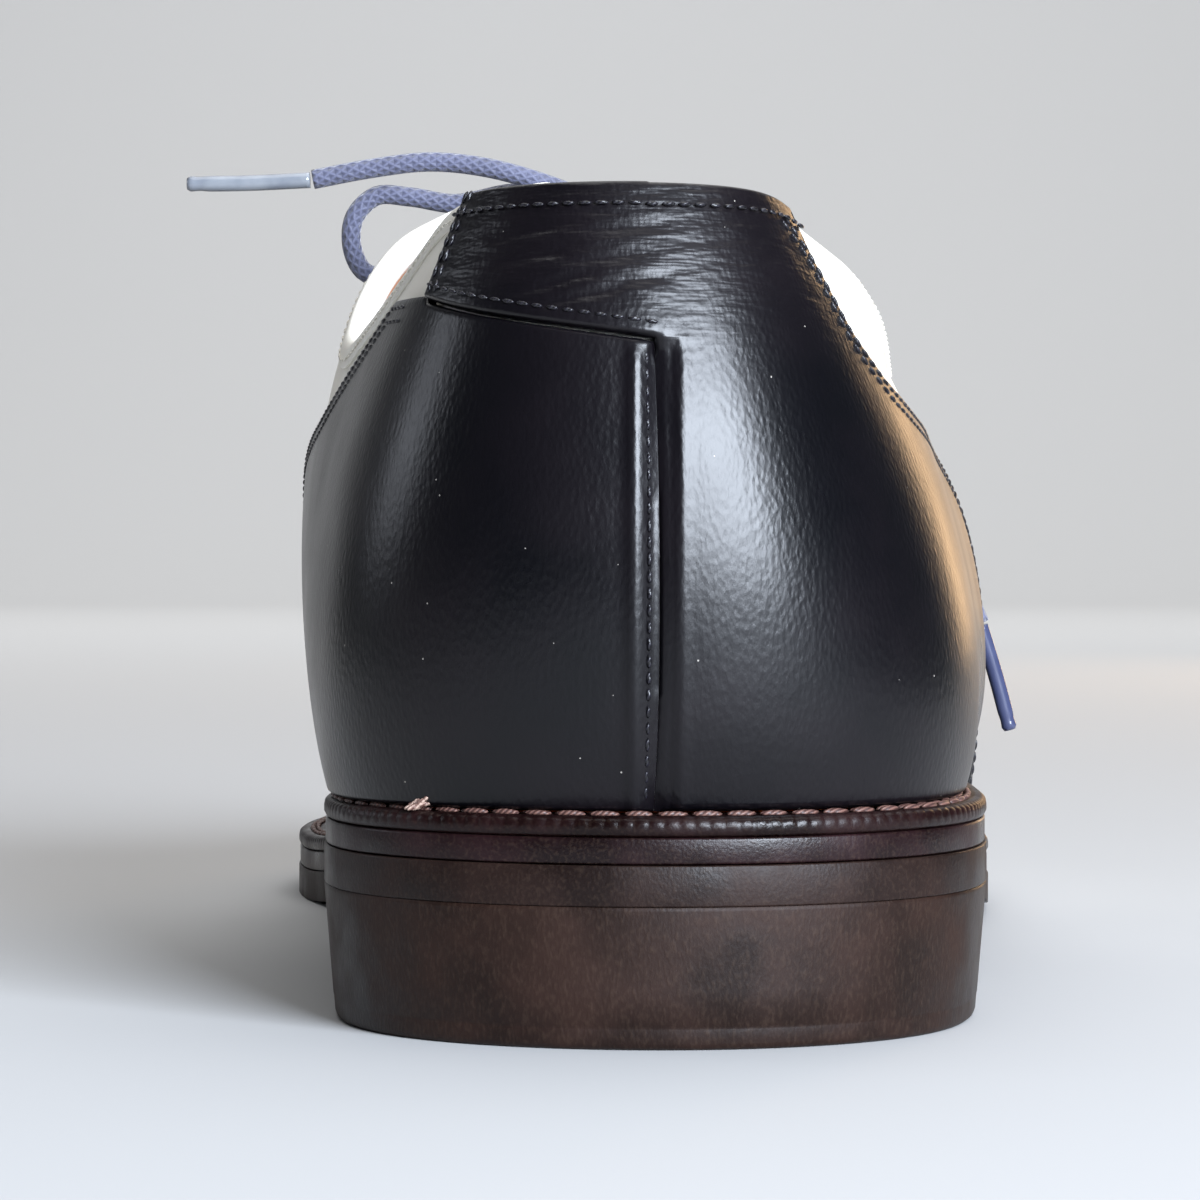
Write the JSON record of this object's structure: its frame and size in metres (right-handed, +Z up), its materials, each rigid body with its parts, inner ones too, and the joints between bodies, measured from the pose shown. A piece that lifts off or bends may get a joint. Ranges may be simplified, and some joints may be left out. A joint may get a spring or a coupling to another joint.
{
  "type": "saddle shoe",
  "caption": "Right saddle shoe with round plain toe, black counter and saddle over a white lasted upper, welted double sole, stacked heel and tied round laces.",
  "frame": {"origin": "on the floor, under the middle of the shoe's box without the free ends of the lace", "axes": "+Z up, toe towards -Y, inner (medial) side of this right shoe towards +X"},
  "size_m": [0.1162, 0.3025, 0.1091],
  "materials": {
    "white_leather": "smooth finished white calf, soft sheen",
    "black_leather": "polished black calf, fine pebble grain",
    "tongue_leather": "white leather with a raw fuzzy edge",
    "insole_leather": "smooth tan sock leather",
    "welt_leather": "dark red-brown waxed edge",
    "sole_leather": "dark brown stacked leather, dusty and matte",
    "lace_cotton": "round braided waxed cotton, dark purple-blue",
    "aglet": "rolled film tip"
  },
  "bodies": {
    "root": {"upper": "white_leather", "counter_inner": "black_leather", "counter_outer": "black_leather", "saddle_inner": "black_leather", "saddle_outer": "black_leather", "tongue": "tongue_leather", "insole": "insole_leather", "welt": "welt_leather", "midsole": "welt_leather", "outsole": "sole_leather", "heel": "sole_leather", "lace_bar_1": "lace_cotton", "lace_bar_2": "lace_cotton", "lace_bar_3": "lace_cotton", "lace_bar_4": "lace_cotton", "lace_tie_inner": "lace_cotton", "lace_tie_outer": "lace_cotton", "lace_knot": "lace_cotton", "lace_loop_inner": "lace_cotton", "lace_loop_outer": "lace_cotton", "lace_end_inner": "lace_cotton", "lace_end_outer": "lace_cotton", "aglet_inner": "aglet", "aglet_outer": "aglet"}
  },
  "joints": []
}
